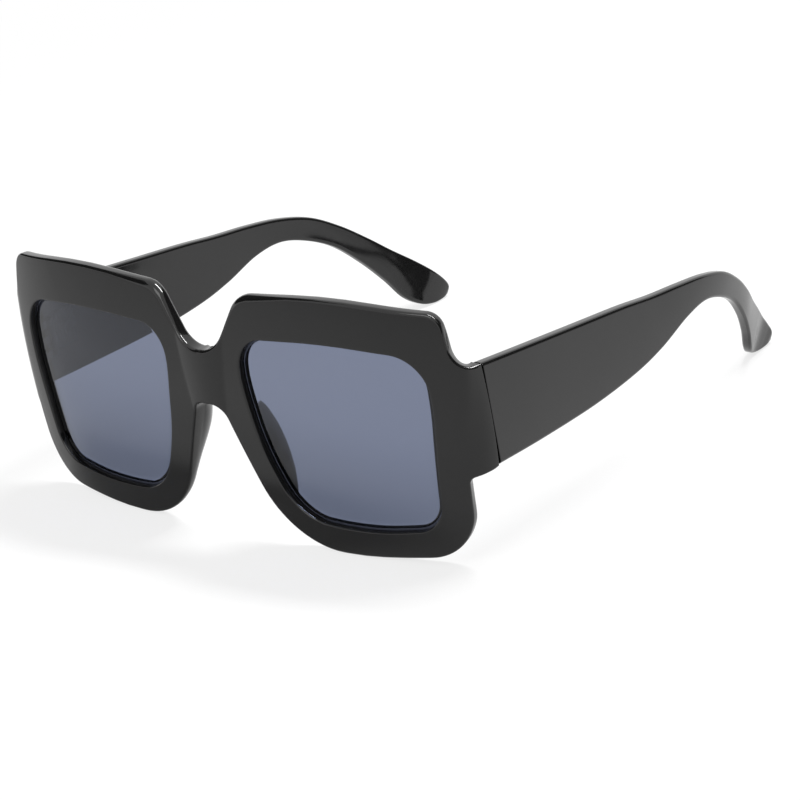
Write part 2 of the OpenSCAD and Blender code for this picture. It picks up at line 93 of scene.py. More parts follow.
def on_sheet(u, v, t):
    """Point at depth t behind the front face at [u, v]: the plan curve, which past the bend is
    a circle and then straight, with its inward normal times t. A bow grows with the square of
    the distance from mid height and fades out round the bend, where the outer face has a crown
    of its own instead. At the bridge the front face swells forward by a parabola that ends in
    a crease. Crown and swelling fade out towards the back face."""
    past_bend = np.clip((u - bend_u) / bend_l, 0, 1)
    a = np.where(u <= bend_u, sheet_angle(np.minimum(u, bend_u)),
                 bend_from + (math.pi / 2 - bend_from) * past_bend)
    x = np.where(u <= bend_u, u, bend_u + bend_r * (np.sin(a) - math.sin(bend_from)))
    y = np.where(u <= bend_u, sheet_back(u),
                 sheet_back(bend_u) + bend_r * (math.cos(bend_from) - np.cos(a))
                 + np.maximum(0, u - bend_u - bend_l))
    fade = 1 - np.clip((u - bend_u) / (lug_end - bend_u), 0, 1) ** 2
    high = v - bow_mid * front_h
    bow = high ** 2 / (2 * np.where(high < 0, bow_low_r, bow_r)) * fade
    outward = np.maximum(0, 1 - t / front_t)
    crease = swell_w + swell_grow * (v - swell_mid)
    swelling = swell_d * np.maximum(0, 1 - (u / crease) ** 2) * outward
    t = t - (1 - fade) * outward * crown(v - (lug_top + lug_low) / 2, lug_h)
    return np.stack([x - t * np.sin(a), y + t * np.cos(a) + bow - swelling - middle_y, v + 0 * x], -1)


def square_to(d):
    """The direction a quarter turn to the left of d."""
    return np.array([-d[1], d[0]])


def rounded_line(corners, step, degrees):
    """Rows [across, up, front rounding, back rounding, normal across, normal up] along a line
    of corners. Each corner [across, up, radius, roundings] becomes an arc that touches both of
    its sides, and the sides between two arcs are cut into equal steps."""
    ways = np.diff(corners[:, :2], axis=0)
    ways /= np.linalg.norm(ways, axis=1)[:, None]
    arcs = [np.concatenate([corners[0, :2], corners[0, 3:5], square_to(ways[0])])[None]]
    for c, a, b in zip(corners[1:-1], ways[:-1], ways[1:]):
        turn = math.atan2(a[0] * b[1] - a[1] * b[0], a @ b)
        n = square_to(a)
        start = c[:2] - a * c[2] * math.tan(abs(turn) / 2)
        centre = start + n * c[2] * np.sign(turn)
        angle = np.linspace(0, turn, 1 + math.ceil(abs(math.degrees(turn)) / degrees))[:, None]
        spin_x = n[0] * np.cos(angle) - n[1] * np.sin(angle)
        spin_y = n[0] * np.sin(angle) + n[1] * np.cos(angle)
        normal = np.hstack([spin_x, spin_y])
        place = centre - normal * c[2] * np.sign(turn)
        arcs.append(np.hstack([place, np.repeat(c[None, 3:5], len(angle), 0), normal]))
    arcs.append(np.concatenate([corners[-1, :2], corners[-1, 3:5], square_to(ways[-1])])[None])
    runs = [arcs[0]]
    for p, q in zip(arcs[:-1], arcs[1:]):
        count = max(1, math.ceil(np.linalg.norm(q[0, :2] - p[-1, :2]) / step))
        share = np.linspace(0, 1, count + 1)[1:-1, None]
        runs += [p[-1] + (q[0] - p[-1]) * share, q]
    return np.vstack(runs)


def shares(rows, scale):
    """Corners given as shares of the front's half width and height, in millimetres."""
    return np.array(rows) * np.array(scale)


to_mm = [half_w, front_h, front_h, edge_r, edge_r]
over_lug = shares([
    [0, 0.747, 0, 1, 1], [0.070, 0.747, 0.123, 1.3, 1.9], [0.180, 0.970, 0.123, 2.4, 2.7],
    [0.581, 1.001, 2.3, 1, 2.65], [0.974, 0.957, 0.075, 1, 2.65]], to_mm)
under_lug = shares([
    [0.976, 0.041, 0.220, 1, 1.65], [0.554, -0.0007, 1.69, 1, 1.65], [0.246, 0.002, 0.370, 1, 4.1],
    [0.056, 0.536, 0.069, 1, 0.25], [0, 0.536, 0, 1, 1]], to_mm)
seam_u = lug_end - seam_forward
lug = np.array([
    [1.010 * half_w, lug_top, 0.26 * lug_h, edge_r, edge_r],
    [seam_u - seam_ease, lug_top, 0, edge_r, edge_r],
    [seam_u, lug_top, seam_r, seam_r, seam_r], [seam_u, lug_low, seam_r, seam_r, seam_r],
    [seam_u - seam_ease, lug_low - 0.02 * lug_h, 0, edge_r, edge_r],
    [1.002 * half_w, lug_low - 0.06 * lug_h, 0.075 * lug_h, edge_r, edge_r]])
edge_step, outline_turn, loop_turn = 0.9, 4, 1.5
outline = rounded_line(np.vstack([over_lug, lug, under_lug]), edge_step, outline_turn)

# The half plate's stations run round the outline and back up the bridge's middle, where no
# edge is rounded.
mid_in, mid_count = edge_r + 0.3, 24
mid_v = np.linspace(outline[-1, 1] + mid_in, outline[0, 1] - mid_in, mid_count)
middle = np.zeros((len(mid_v), 6))
middle[:, 1] = mid_v
station = np.vstack([outline, middle])

opening = shares([
    [0.180, 0.816, 0.129], [0.568, 0.842, 2.3], [0.919, 0.807, 0.160], [0.924, 0.583, 0.92],
    [0.881, 0.144, 0.132], [0.554, 0.100, 1.69], [0.313, 0.127, 0.230], [0.214, 0.391, 0.92],
    [0.177, 0.644, 0.54]], to_mm[:3])
opening = np.hstack([opening, np.zeros((len(opening), 2))])
loop = rounded_line(np.vstack([opening[-1:], opening, opening[:1]]), edge_step, loop_turn)[1:-1]
loop = np.vstack([loop, loop[:1]])

# The eye lies near the middle of the opening. Rays from it join each station to the opening.
eye = np.array([0.554 * half_w, 0.567 * front_h])


def facing(places):
    """Where the ray from the opening's eye through each place crosses the opening's edge, and
    the edge's outward direction there. A piece of the edge is crossed where its two ends lie
    on different sides of the ray."""
    d = places - eye
    p = loop[:, :2] - eye
    side = d[:, None, 0] * p[None, :, 1] - d[:, None, 1] * p[None, :, 0]
    ahead = d @ p.T > 0
    a, b = side[:, :-1], side[:, 1:]
    k = np.argmax((a * b <= 0) & (np.abs(a - b) > 0) & ahead[:, :-1], axis=1)
    row = np.arange(len(d))
    share = (a[row, k] / (a[row, k] - b[row, k]))[:, None]
    place = loop[k, :2] + (loop[k + 1, :2] - loop[k, :2]) * share
    out = loop[k, 4:6] + (loop[k + 1, 4:6] - loop[k, 4:6]) * share
    return place, out / np.linalg.norm(out, axis=1)[:, None]


open_edge, away_in = facing(station[:, :2])
outer, away_out = station[:, :2], station[:, 4:6]
lens_bite = groove_d - 2 * lens_gap
lens_half = lens_t / 2
lens_edge = lens_half - bevel_h
groove_lip = lens_half - bevel_h * lip_r / (lip_r + lens_bite) + lens_gap
groove_floor = lens_edge + lens_gap
round_rows, face_rows, back_rows = 8, 25, 21


def rows_between(p, q, share):
    """Points at the given shares of the way from each p to its q, as [station, share, uv]."""
    return p[:, None] + (q - p)[:, None] * np.asarray(share)[None, :, None]


def at_depth(uv, t):
    """Rows of places with their depths, both spread over all the stations."""
    t = np.broadcast_to(np.atleast_2d(t), uv.shape[:2])
    return np.concatenate([uv, t[..., None]], -1)


def edge_rows(rounding, back):
    """The quarter circle that rounds the outer edge: its centre lies one radius in from the
    edge and one radius from the face, and the rows run from the face to the wall."""
    angle = np.linspace(0, math.pi / 2, round_rows)
    across = 1 - np.sin(angle)
    down = 1 - np.cos(angle)
    if back:
        across, down = across[::-1], down[::-1]
    uv = outer[:, None] - away_out[:, None] * (rounding[:, None] * across)[..., None]
    t = rounding[:, None] * down
    return at_depth(uv, front_t - t if back else t)


front_round, back_round = station[:, 2], station[:, 3]
inner = open_edge - lip_r * away_in
floor_at = inner + groove_d * away_in

# The back lip of the opening stands further in than the front one, to stop the lens, and most
# at the sides away from the nose. Over the lens the front lip is cut back, but not at the top.
front_lip_r, front_cut, front_cut_nose, front_cut_top = 0.4, 0.5, 0.35, 0.6
back_lip_r, back_stop, back_stop_nose, back_stop_ear = 0.3, 0.6, 0.8, 0.6
noseward = np.maximum(0, -away_in[:, :1])
earward = np.maximum(0, away_in[:, :1])
upward = np.maximum(0, away_in[:, 1:])
cut_back = front_cut + front_cut_nose * noseward - front_cut_top * upward
stood_in = back_stop - back_stop_nose * noseward + back_stop_ear * earward ** 4
front_wall = inner + cut_back * away_in
back_wall = inner - stood_in * away_in
face_from = front_wall + front_lip_r * away_in
back_from = back_wall + back_lip_r * away_in


def lip_rows(wall, radius):
    """The quarter circle that rounds an opening's edge, from its wall to the face, as places
    and depths below the face."""
    angle = np.linspace(0, math.pi / 2, round_rows)
    uv = wall[:, None] + away_in[:, None] * (radius * (1 - np.cos(angle)))[None, :, None]
    return uv, radius * (1 - np.sin(angle))


front_lip, front_down = lip_rows(front_wall, front_lip_r)
back_lip, back_down = lip_rows(back_wall, back_lip_r)
face_to = outer - away_out * front_round[:, None]
back_to = outer - away_out * back_round[:, None]
face_share = np.linspace(0, 1, face_rows)[1:-1]
back_share = np.linspace(1, 0, back_rows)[1:-1]
groove = np.stack([back_wall, floor_at, floor_at, front_wall], 1)
groove_t = np.array([lens_half + lens_gap, groove_floor, -groove_floor, -groove_lip])
sections = [
    at_depth(front_lip, front_down),
    at_depth(rows_between(face_from, face_to, face_share), 0),
    edge_rows(front_round, False),
    edge_rows(back_round, True),
    at_depth(rows_between(back_from, back_to, back_share), front_t),
    at_depth(back_lip[:, ::-1], front_t - back_down[::-1]),
    at_depth(groove, lens_set + groove_t)]
plate = np.concatenate(sections, 1)
edge_first = sections[0].shape[1] + sections[1].shape[1]
edge_last = edge_first + sections[2].shape[1] + sections[3].shape[1] - 1


def ring_quads(rings, count):
    """Quads of a grid of closed rings, each with count points, from one ring to the next."""
    i, j = np.meshgrid(np.arange(rings - 1), np.arange(count), indexing="ij")
    k = (j + 1) % count
    return np.stack([i * count + j, i * count + k, (i + 1) * count + k, (i + 1) * count + j], -1)


def enclosed(points, faces):
    """Six times the volume that faces of one size enclose: the sum over each face's fan of
    triangles of one corner times the cross product of the next two. It is positive where they
    point outwards."""
    p = points[faces]
    return np.sum(p[:, :1] * np.cross(p[:, 1:-1], p[:, 2:]))


def make_piece(name, points, faces, sharp=38):
    """A mesh object from points in millimetres and grids of faces, without unused points. Its
    faces point outwards, and it is smooth but for the edges that bend by more than sharp."""
    faces = [np.asarray(f).reshape(-1, f.shape[-1]) for f in faces]
    if sum(enclosed(points, f) for f in faces) < 0:
        faces = [f[:, ::-1] for f in faces]
    used, place = np.unique(np.concatenate([f.ravel() for f in faces]), return_inverse=True)
    ends = np.cumsum([f.size for f in faces])[:-1]
    parts = [p.reshape(f.shape) for p, f in zip(np.split(place, ends), faces)]
    mesh = bpy.data.meshes.new(name)
    mesh.from_pydata((points[used] / 1000).tolist(), [], sum((p.tolist() for p in parts), []))
    mesh.validate()
    mesh.shade_smooth()
    mesh.set_sharp_from_angle(angle=math.radians(sharp))
    piece = bpy.data.objects.new(name, mesh)
    bpy.context.scene.collection.objects.link(piece)
    return piece


def flipped(points):
    """The points' mirror image in the plane between the two halves."""
    return points * np.array([-1.0, 1, 1])


points = on_sheet(plate[..., 0], plate[..., 1], plate[..., 2]).reshape(-1, 3)
count = plate.shape[1]
quads = ring_quads(len(station) + 1, count) % len(points)
round_the_bridge = np.arange(len(station)) >= len(outline) - 1
in_edge = (np.arange(count) >= edge_first) & (np.arange(count) < edge_last)
quads = quads[~(round_the_bridge[:, None] & in_edge[None])]

# The two halves share their points on the middle plane.
touching = 1e-6
shared = np.abs(points[:, 0]) < touching
points[shared, 0] = 0
twin = np.where(shared, np.arange(len(points)), np.arange(len(points)) + len(points))
front = make_piece("front", np.vstack([points, flipped(points)]), [quads, twin[quads][:, ::-1]])


class Value:
    """A node's output that Python's operators work on. Each operation adds one Math node."""

    def __init__(self, finish, socket):
        self.finish, self.socket = finish, socket

    def __getitem__(self, name):
        return Value(self.finish, self.socket.node.outputs[name])

    def maths(self, operation, first, second):
        return self.finish.node("ShaderNodeMath", {"operation": operation}, {0: first, 1: second})

    def __add__(self, other):
        return self.maths("ADD", self, other)

    def __mul__(self, other):
        return self.maths("MULTIPLY", self, other)

    __radd__, __rmul__ = __add__, __mul__


class Finish:
    """The nodes of one material, or of the world."""

    def __init__(self, owner):
        owner.use_nodes = True
        self.owner, self.tree = owner, owner.node_tree
        self.tree.nodes.clear()

    def node(self, kind, settings=None, sockets=None):
        """Adds a node of a kind, sets its settings and then its sockets, and gives its first
        output."""
        made = self.tree.nodes.new(kind)
        for name, setting in (settings or {}).items():
            setattr(made, name, setting)
        for name, value in (sockets or {}).items():
            if isinstance(value, Value):
                self.tree.links.new(value.socket, made.inputs[name])
            else:
                made.inputs[name].default_value = value
        return Value(self, made.outputs[0]) if made.outputs else None

    def at(self):
        """The place on the object, in metres."""
        return self.node("ShaderNodeTexCoord")["Object"]

    def vector(self, operation, first, second):
        """One Vector Math node on a vector and three numbers."""
        return self.node("ShaderNodeVectorMath", {"operation": operation}, {0: first, 1: second})

    def far_from(self, centre, scale):
        """The distance from a centre, with each axis multiplied by its scale."""
        away = self.vector("SUBTRACT", self.at(), centre)
        return self.vector("LENGTH", self.vector("MULTIPLY", away, scale), (0, 0, 0))["Value"]

    def stretched(self, scale):
        """The place with each axis multiplied by its scale."""
        return self.vector("MULTIPLY", self.at(), scale)

    def noise(self, place, scale, detail, roughness=0.5):
        return self.node("ShaderNodeTexNoise", {}, {
            "Vector": place, "Scale": scale, "Detail": detail, "Roughness": roughness})

    def spread(self, value, low, high, to_low, to_high):
        """The value's range from low to high carried over to another range, smoothly."""
        return self.node("ShaderNodeMapRange", {"interpolation_type": "SMOOTHSTEP"}, {
            "Value": value, "From Min": low, "From Max": high, "To Min": to_low, "To Max": to_high})

    def blend(self, share, a, b):
        """Colour a turning to colour b as share goes from 0 to 1."""
        made = self.node("ShaderNodeMix", {"data_type": "RGBA"}, {0: share, 6: (*a, 1), 7: (*b, 1)})
        return Value(self, made.socket.node.outputs[2])

    def bump(self, height, distance, strength):
        return self.node("ShaderNodeBump", {}, {
            "Height": height, "Distance": distance, "Strength": strength})

    def surface(self, sockets):
        shader = self.node("ShaderNodeBsdfPrincipled", {}, sockets)
        self.node("ShaderNodeOutputMaterial", {}, {"Surface": shader})
        return self.owner


def polished_acetate(name):
    """Near-black acetate, polished to a gloss: a hardly visible cloud of warmer and cooler
    black, the soft waves that a buffing wheel leaves, and fine hairline scratches that only
    change how sharp the gloss is."""
    f = Finish(bpy.data.materials.new(name))
    cloud = f.noise(f.at(), 45, 3)
    haze = f.noise(f.at(), 160, 4, 0.6)
    hair = f.noise(f.stretched((900, 900, 140)), 1, 3, 0.7)
    waves = f.noise(f.at(), 70, 1)
    scratch = f.spread(hair, 0.64, 0.72, 0, 1)
    return f.surface({
        "Base Color": f.blend(cloud, (0.0052, 0.0052, 0.0055), (0.0088, 0.0086, 0.0085)),
        "Roughness": f.spread(haze, 0.35, 0.7, 0.085, 0.13) + 0.07 * scratch,
        "IOR": 1.5,
        "Normal": f.bump(waves, 0.00012, 0.35)})


acetate = polished_acetate("polished_acetate")
front.data.materials.append(acetate)
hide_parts("front_frame")
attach(front, "front")

# The lenses. Bluish grey sheet one and a half millimetres thick, curved like the front, with a
# bevelled edge that is snapped into the groove round each opening.
bevel_rows = np.array([
    [-lip_r, -lens_half], [lens_bite, -lens_edge], [lens_bite, lens_edge], [-lip_r, lens_half]])
pale_w, pale_least, lens_rows = 0.5, 0.05, 23
radial = np.linspace(0, 1, lens_rows)[1:-1]
edge_from = inner - lip_r * away_in


def lens_side(t, share):
    """Rings of the lens's face: shares of the way from the eye to where its bevel begins."""
    return at_depth(rows_between(np.broadcast_to(eye, edge_from.shape), edge_from, share), t)


bevel = inner[:, None] + away_in[:, None] * bevel_rows[None, :, :1]
bevel = at_depth(bevel, bevel_rows[:, 1])

# The bevel's front slope is parted where a paler ring of painted glow begins, pale_w inside the front
# lip.
pale_share = ((front_wall - inner) * away_in).sum(1, keepdims=True) - pale_w + lip_r
pale_share = np.maximum(pale_least, pale_share / (lip_r + lens_bite))[:, None]
pale_start = bevel[:, :1] + (bevel[:, 1:2] - bevel[:, :1]) * pale_share
bevel = np.concatenate([bevel[:, :1], pale_start, bevel[:, 1:]], 1)
lens_rings = np.concatenate([
    lens_side(-lens_half, radial), bevel,
    lens_side(lens_half, radial[::-1])], 1).transpose(1, 0, 2)
ring_count, around = lens_rings.shape[:2]
lens_flat = lens_rings.reshape(-1, 3)
poles = np.array([[*eye, -lens_half], [*eye, lens_half]])
lens_flat = np.vstack([lens_flat, poles])
lens_points = on_sheet(lens_flat[:, 0], lens_flat[:, 1], lens_set + lens_flat[:, 2])
lens_quads = ring_quads(ring_count, around).reshape(-1, 4)[:, ::-1]
bevel_from = len(radial) * around
pale_from, pale_to = bevel_from + around, bevel_from + 2 * around
bevel_to = bevel_from + len(bevel_rows) * around
first, following = np.arange(around), (np.arange(around) + 1) % around
front_pole, back_pole = ring_count * around, ring_count * around + 1
last_ring = (ring_count - 1) * around
lens_fans = np.vstack([
    np.stack([np.full(around, front_pole), first, following], -1),
    np.stack([np.full(around, back_pole), last_ring + following, last_ring + first], -1)])


def tinted_sheet(name):
    """See-through bluish grey lens. Its tint is a touch darker towards the bottom, a painted shade for
    the table's shade seen through it, and uneven by a hardly visible amount; the face is polished to a
    mirror."""
    f = Finish(bpy.data.materials.new(name))
    up = f.node("ShaderNodeSeparateXYZ", {}, {0: f.at()})["Z"]
    cloud = f.noise(f.at(), 30, 2)
    # Painted shade: the share darkens the tint towards the bottom, with a faint random cloud on top.
    share = f.spread(up, 0.006, 0.056, 0, 0.85) + 0.15 * cloud
    return f.surface({
        "Base Color": f.blend(share, (0.150, 0.176, 0.258), (0.176, 0.202, 0.288)),
        "Roughness": 0.0,
        "IOR": 1.5,
        "Transmission Weight": 1.0})


def cut_edge(name, colour):
    """The lens's bevelled edge as the cutter leaves it, finely scored. Its colour is painted light: near
    black as a painted shade of the groove behind it, and paler and bluish in the ring where a painted
    glow stands for the lens's own light coming out."""
    f = Finish(bpy.data.materials.new(name))
    scores = f.noise(f.at(), 1800, 3)
    return f.surface({
        "Base Color": f.blend(scores, colour, tuple(c * 1.35 for c in colour)),
        "Roughness": f.spread(scores, 0.3, 0.7, 0.16, 0.24),
        "IOR": 1.5})


tint = tinted_sheet("tinted_sheet")
# Painted shade on the bevel, and a painted glow on its pale ring.
edges = [cut_edge("cut_edge", (0.0055, 0.0060, 0.0085)), cut_edge("painted_glow_edge", (0.10, 0.11, 0.15))]
for side, places in (("left", lens_points), ("right", flipped(lens_points))):
    lens = make_piece(side + "_lens_sheet", places, [lens_quads, lens_fans])
    for finish in (tint, *edges):
        lens.data.materials.append(finish)
    in_bevel = np.zeros(len(lens.data.polygons), dtype=np.int32)
    in_bevel[bevel_from:bevel_to] = 1
    in_bevel[pale_from:pale_to] = 2
    lens.data.polygons.foreach_set("material_index", in_bevel)
    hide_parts(side + "_lens")
    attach(lens, "front")

# The nose pads. Ridges of the same acetate, glued to the backs of the rims along the nose and
# polished flush with their edges.
pad_d, pad_w, pad_crest, pad_root = 6.6, 8.2, 0.72, 0.2
pad_lean, lean_from, lean_over = 1.7, 0.35, 0.4
full_rise, near_power, near_drop, far_power = 3.0, 2.0, 0.3, 3.2
pad_stations, flank_rows, long_passes, short_passes = 150, 30, 60, 20
skin = 0.003
rim_places = outline[:, :2]


def nearest(across, up):
    """The outline's station nearest to a place, given in shares of the half width and height."""
    return int(np.argmin(np.linalg.norm(rim_places - [across * half_w, up * front_h], axis=1)))


def smooth_through(rows, s):
    """Smooth curve through a table's rows at places s: a cubic between two rows whose slope at
    each row is half the step between the rows on its two sides."""
    rows = np.asarray(rows, float)
    k = np.minimum(np.floor(s).astype(int), len(rows) - 2)
    f = (s - k)[:, None]
    a, b, c = rows[np.maximum(k - 1, 0)], rows[k], rows[k + 1]
    d = rows[np.minimum(k + 2, len(rows) - 1)]
    return (b + (c - a) * (f / 2) + (2 * a - 5 * b + 4 * c - d) * (f ** 2 / 2)
            + (3 * b - a - 3 * c + d) * (f ** 3 / 2))


def evened(values, passes):
    """A column of values, each replaced by the mean of itself and its neighbours, again and
    again, which takes the kinks out of it."""
    for _ in range(passes):
        wider = np.vstack([values[:1], values, values[-1:]])
        values = (wider[:-2] + wider[1:-1] + wider[2:]) / 3
    return values


def run_along(line):
    """The distance along a line of stations, from its start to each of them."""
    return np.concatenate([[0], np.cumsum(np.linalg.norm(np.diff(line[:, :2], axis=0), axis=1))])


# The pad follows the outline from low beside the cheek to just under the bridge, in equal steps.
pad_low, pad_high = nearest(0.240, 0.105), nearest(0.036, 0.545)
coarse = outline[pad_low:pad_high + 1]
rim_wide = np.linalg.norm(coarse[:, :2] - back_wall[pad_low:pad_high + 1], axis=1)
coarse_run = run_along(coarse)
run = np.linspace(0, coarse_run[-1], pad_stations)
pad_line = np.stack([np.interp(run, coarse_run, column) for column in coarse.T], -1)

# The pad's height at equal distances from its top end to its low end, as shares of pad_d.
pad_rise = np.array([0, 0.48, 0.84, 0.96, 1, 0.96, 0.86, 0.71, 0.54, 0.37, 0.20, 0])[:, None]
rise = pad_d * np.maximum(0, smooth_through(pad_rise, (1 - run / run[-1]) * (len(pad_rise) - 1)))
rounded = pad_line[:, 3:4]
rim_wide = np.interp(run, coarse_run, rim_wide)[:, None]
far = evened(np.minimum(pad_w, rim_wide - back_lip_r), long_passes)
far = np.minimum(far, rim_wide - back_lip_r)
grown = evened(np.minimum(1, rise / full_rise), short_passes)
crest = rounded + (pad_crest * far - rounded) * grown


def superellipse(angle, power):
    """Quarter of a superellipse from [0, 0] straight up and over to [1, 1]."""
    return 1 - np.cos(angle) ** (2 / power), np.sin(angle) ** (2 / power)


# A pad's section starts on the rim's side wall, rises over the crest and ends beside the lens.
# Where the pad has no height it has the shape of the rim's own rounded edge. Its upper half
# leans towards the nose.
flank = np.linspace(0, math.pi / 2, flank_rows)[None]
near_across, near_up = superellipse(flank, near_power - near_drop * grown)
far_across, far_up = superellipse(flank[:, :-1], far_power)
pad_across = np.concatenate([
    near_across * crest, far - far_across[:, ::-1] * (far - crest), far, rounded + 0 * far], 1)
pad_out = np.concatenate([
    (rounded + rise) * near_up - rounded, far_up[:, ::-1] * rise,
    -pad_root + 0 * far, -rounded - pad_root], 1)
leant = np.clip((run / run[-1] - lean_from) / lean_over, 0, 1)[:, None]
lean = pad_lean * evened(leant, long_passes)
pad_across = pad_across - lean * np.maximum(0, pad_out) / pad_d
pad_uv = pad_line[:, None, :2] - pad_line[:, None, 4:6] * (pad_across - skin)[..., None]
pad_points = on_sheet(pad_uv[..., 0], pad_uv[..., 1], front_t + pad_out + skin).reshape(-1, 3)
around = pad_across.shape[1]
pad_quads = ring_quads(len(pad_line), around)
pad_ends = np.stack([np.arange(around)[::-1], (len(pad_line) - 1) * around + np.arange(around)])
for side, places in (("left", pad_points), ("right", flipped(pad_points))):
    pad = make_piece(side + "_nose_ridge", places, [pad_quads, pad_ends])
    pad.data.materials.append(acetate)
    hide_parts(side + "_nose_pad")
    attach(pad, "front")

# The temples. Broad acetate arms with a wire shot into each, heated and bent by hand: they
# taper behind the ear into a hooked tip that turns down and in. Their edges are tumbled round.
temple_l, temple_t, turn_in, temple_r, inside_gap = 127.0, 3.2, 21.2, 0.9, 0.1
round_most, arm_stations, corner_rows, seam_rows = 0.45, 420, 9, 6

# Each row has the top edge's place back and up, the lower edge's place back and up, the turn
# inwards and the thickness, as shares of temple_l, lug_top, turn_in and temple_t.
temple_rows = np.array([
    [0.000, 1.000, 0.000, lug_low / lug_top, 0.000, 1.00],
    [0.123, 0.957, 0.123, 0.479, 0.011, 1.00],
    [0.280, 0.901, 0.280, 0.475, 0.046, 1.00],
    [0.406, 0.856, 0.410, 0.497, 0.075, 1.00],
    [0.496, 0.817, 0.499, 0.538, 0.096, 0.98],
    [0.585, 0.786, 0.587, 0.604, 0.124, 0.96],
    [0.670, 0.747, 0.658, 0.619, 0.177, 0.95],
    [0.744, 0.685, 0.722, 0.568, 0.262, 0.95],
    [0.805, 0.583, 0.781, 0.477, 0.383, 0.95],
    [0.855, 0.469, 0.830, 0.341, 0.524, 0.95],
    [0.896, 0.361, 0.867, 0.201, 0.675, 0.95],
    [0.934, 0.268, 0.891, 0.083, 0.807, 0.95],
    [0.965, 0.185, 0.916, 0.026, 0.912, 0.94],
    [0.987, 0.118, 0.945, 0.003, 0.959, 0.90],
    [1.000, 0.065, 0.971, 0.001, 0.980, 0.78],
    [0.998, 0.030, 0.987, 0.005, 1.001, 0.50]])
corner_angle = np.linspace(0, math.pi / 2, corner_rows)
ring_angle = np.concatenate([corner_angle + c * math.pi / 2 for c in range(4)])
side_x = np.repeat([1, -1, -1, 1], len(corner_angle))
side_z = np.repeat([1, 1, -1, -1], len(corner_angle))


def temple_rings(s, inset):
    """Closed cross-sections at places s of the table, each a rectangle with round corners whose
    long side joins the top edge to the lower edge, drawn in by inset. The outer face is
    crowned like the endpiece's. The first row is moved forward to the visible seam."""
    r = smooth_through(temple_rows, s)
    forward = (lug_end + inside_gap - seam_u - seam_gap) * np.clip(1 - s, 0, 1)
    back = seam_y + inside_gap - forward
    top = np.stack([back + r[:, 0] * temple_l, r[:, 1] * lug_top], -1)
    low = np.stack([back + r[:, 2] * temple_l, r[:, 3] * lug_top], -1)
    wide = np.linalg.norm(top - low, axis=1)
    up = (top - low) / wide[:, None]
    thick = r[:, 5] * temple_t
    radius = np.minimum(temple_r, np.minimum(thick, wide) * round_most)
    across = (thick / 2 - radius)[:, None] * side_x + (radius - inset)[:, None] * np.cos(ring_angle)
    along = (wide / 2 - radius)[:, None] * side_z + (radius - inset)[:, None] * np.sin(ring_angle)
    place = (top + low)[:, None] / 2 + along[..., None] * up[:, None]
    outward = np.clip(across / thick[:, None] + 0.5, 0, 1)
    x = (lug_x - r[:, 4] * turn_in - thick / 2)[:, None] + across + outward * crown(along, wide[:, None])
    return np.concatenate([x[..., None], place - np.array([middle_y, 0])], -1)


seam_turn = np.linspace(0, math.pi / 2, seam_rows)
seam_place = seam_r * (1 - np.cos(seam_turn)) / temple_l / temple_rows[1, 0]
body_place = np.linspace(seam_place[-1], len(temple_rows) - 1, arm_stations)[1:]
rings = np.concatenate([
    temple_rings(seam_place, seam_r * (1 - np.sin(seam_turn))),
    temple_rings(body_place, np.zeros(len(body_place)))])
temple_points = rings.reshape(-1, 3)
around = rings.shape[1]
temple_quads = ring_quads(len(rings), around)
temple_ends = np.stack([np.arange(around)[::-1], (len(rings) - 1) * around + np.arange(around)])
for side, places in (("left", temple_points), ("right", flipped(temple_points))):
    arm = make_piece(side + "_arm", places, [temple_quads, temple_ends])
    arm.data.materials.append(acetate)
    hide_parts(side + "_temple")
    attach(arm, side + "_temple_body")

# The hinges, their screws and the wires inside the temples. Nickel silver and steel, stamped
# and turned to exact sizes, so their CAD solids stay and only get their finish.


def drawn_metal(name, colour, grain):
    """Bare metal with the fine lines of its rolling or turning, which spread its gloss along
    them, and a faint tarnish."""
    f = Finish(bpy.data.materials.new(name))
    lines = f.noise(f.stretched(grain), 1, 4, 0.6)
    tarnish = f.noise(f.at(), 500, 3)
    darker = tuple(c * 0.72 for c in colour)
    return f.surface({
        "Base Color": f.blend(f.spread(tarnish, 0.4, 0.75, 0, 1), colour, darker),
        "Metallic": 1.0,
        "Roughness": f.spread(lines, 0.3, 0.7, 0.22, 0.38),
        "Normal": f.bump(lines, 0.00001, 0.5)})


leaf_metal = drawn_metal("plated_nickel_silver", (0.060, 0.060, 0.062), (9000, 9000, 900))
screw_metal = drawn_metal("plated_steel", (0.080, 0.080, 0.082), (900, 900, 12000))
wire_metal = drawn_metal("drawn_wire", (0.60, 0.60, 0.60), (9000, 500, 9000))
for side in ("left", "right"):
    for name, metal in (("front_hinge_leaf", leaf_metal), ("temple_hinge_leaf", leaf_metal),
                        ("hinge_screw", screw_metal), ("core_wire", wire_metal)):
        slots = node[side + "_" + name].data.materials
        slots.clear()
        slots.append(metal)

# The table, a plain white sheet that keeps a soft shadow, and the light of a small studio: a
# strip of light high behind the glasses, a weaker soft box in front, and dark cards that only
# mirror-like gloss sees, as a photographer sets round black goods.
# What gloss sees of the table is painted: a painted shadow in a dim oval pool just before the front,
# painted light that grows beyond it, and painted light that dims towards the front.
shadow_pool_centre, shadow_pool_scale = (-0.018, -0.078, 0), (10, 50, 0)
pool_in, pool_edge, pool_out = 0.5, 0.9, 3.5
shadow_pool_level, edge_level, added_level, mirror_share = 0.28, 0.68, 0.32, 0.75
back_way, dim_from, dim_level = (0.3, 1, 0), -0.13, 0.6
shadow_near, shadow_far, shadow_level, air_level = 0.12, 0.5, 0.76, 0.45


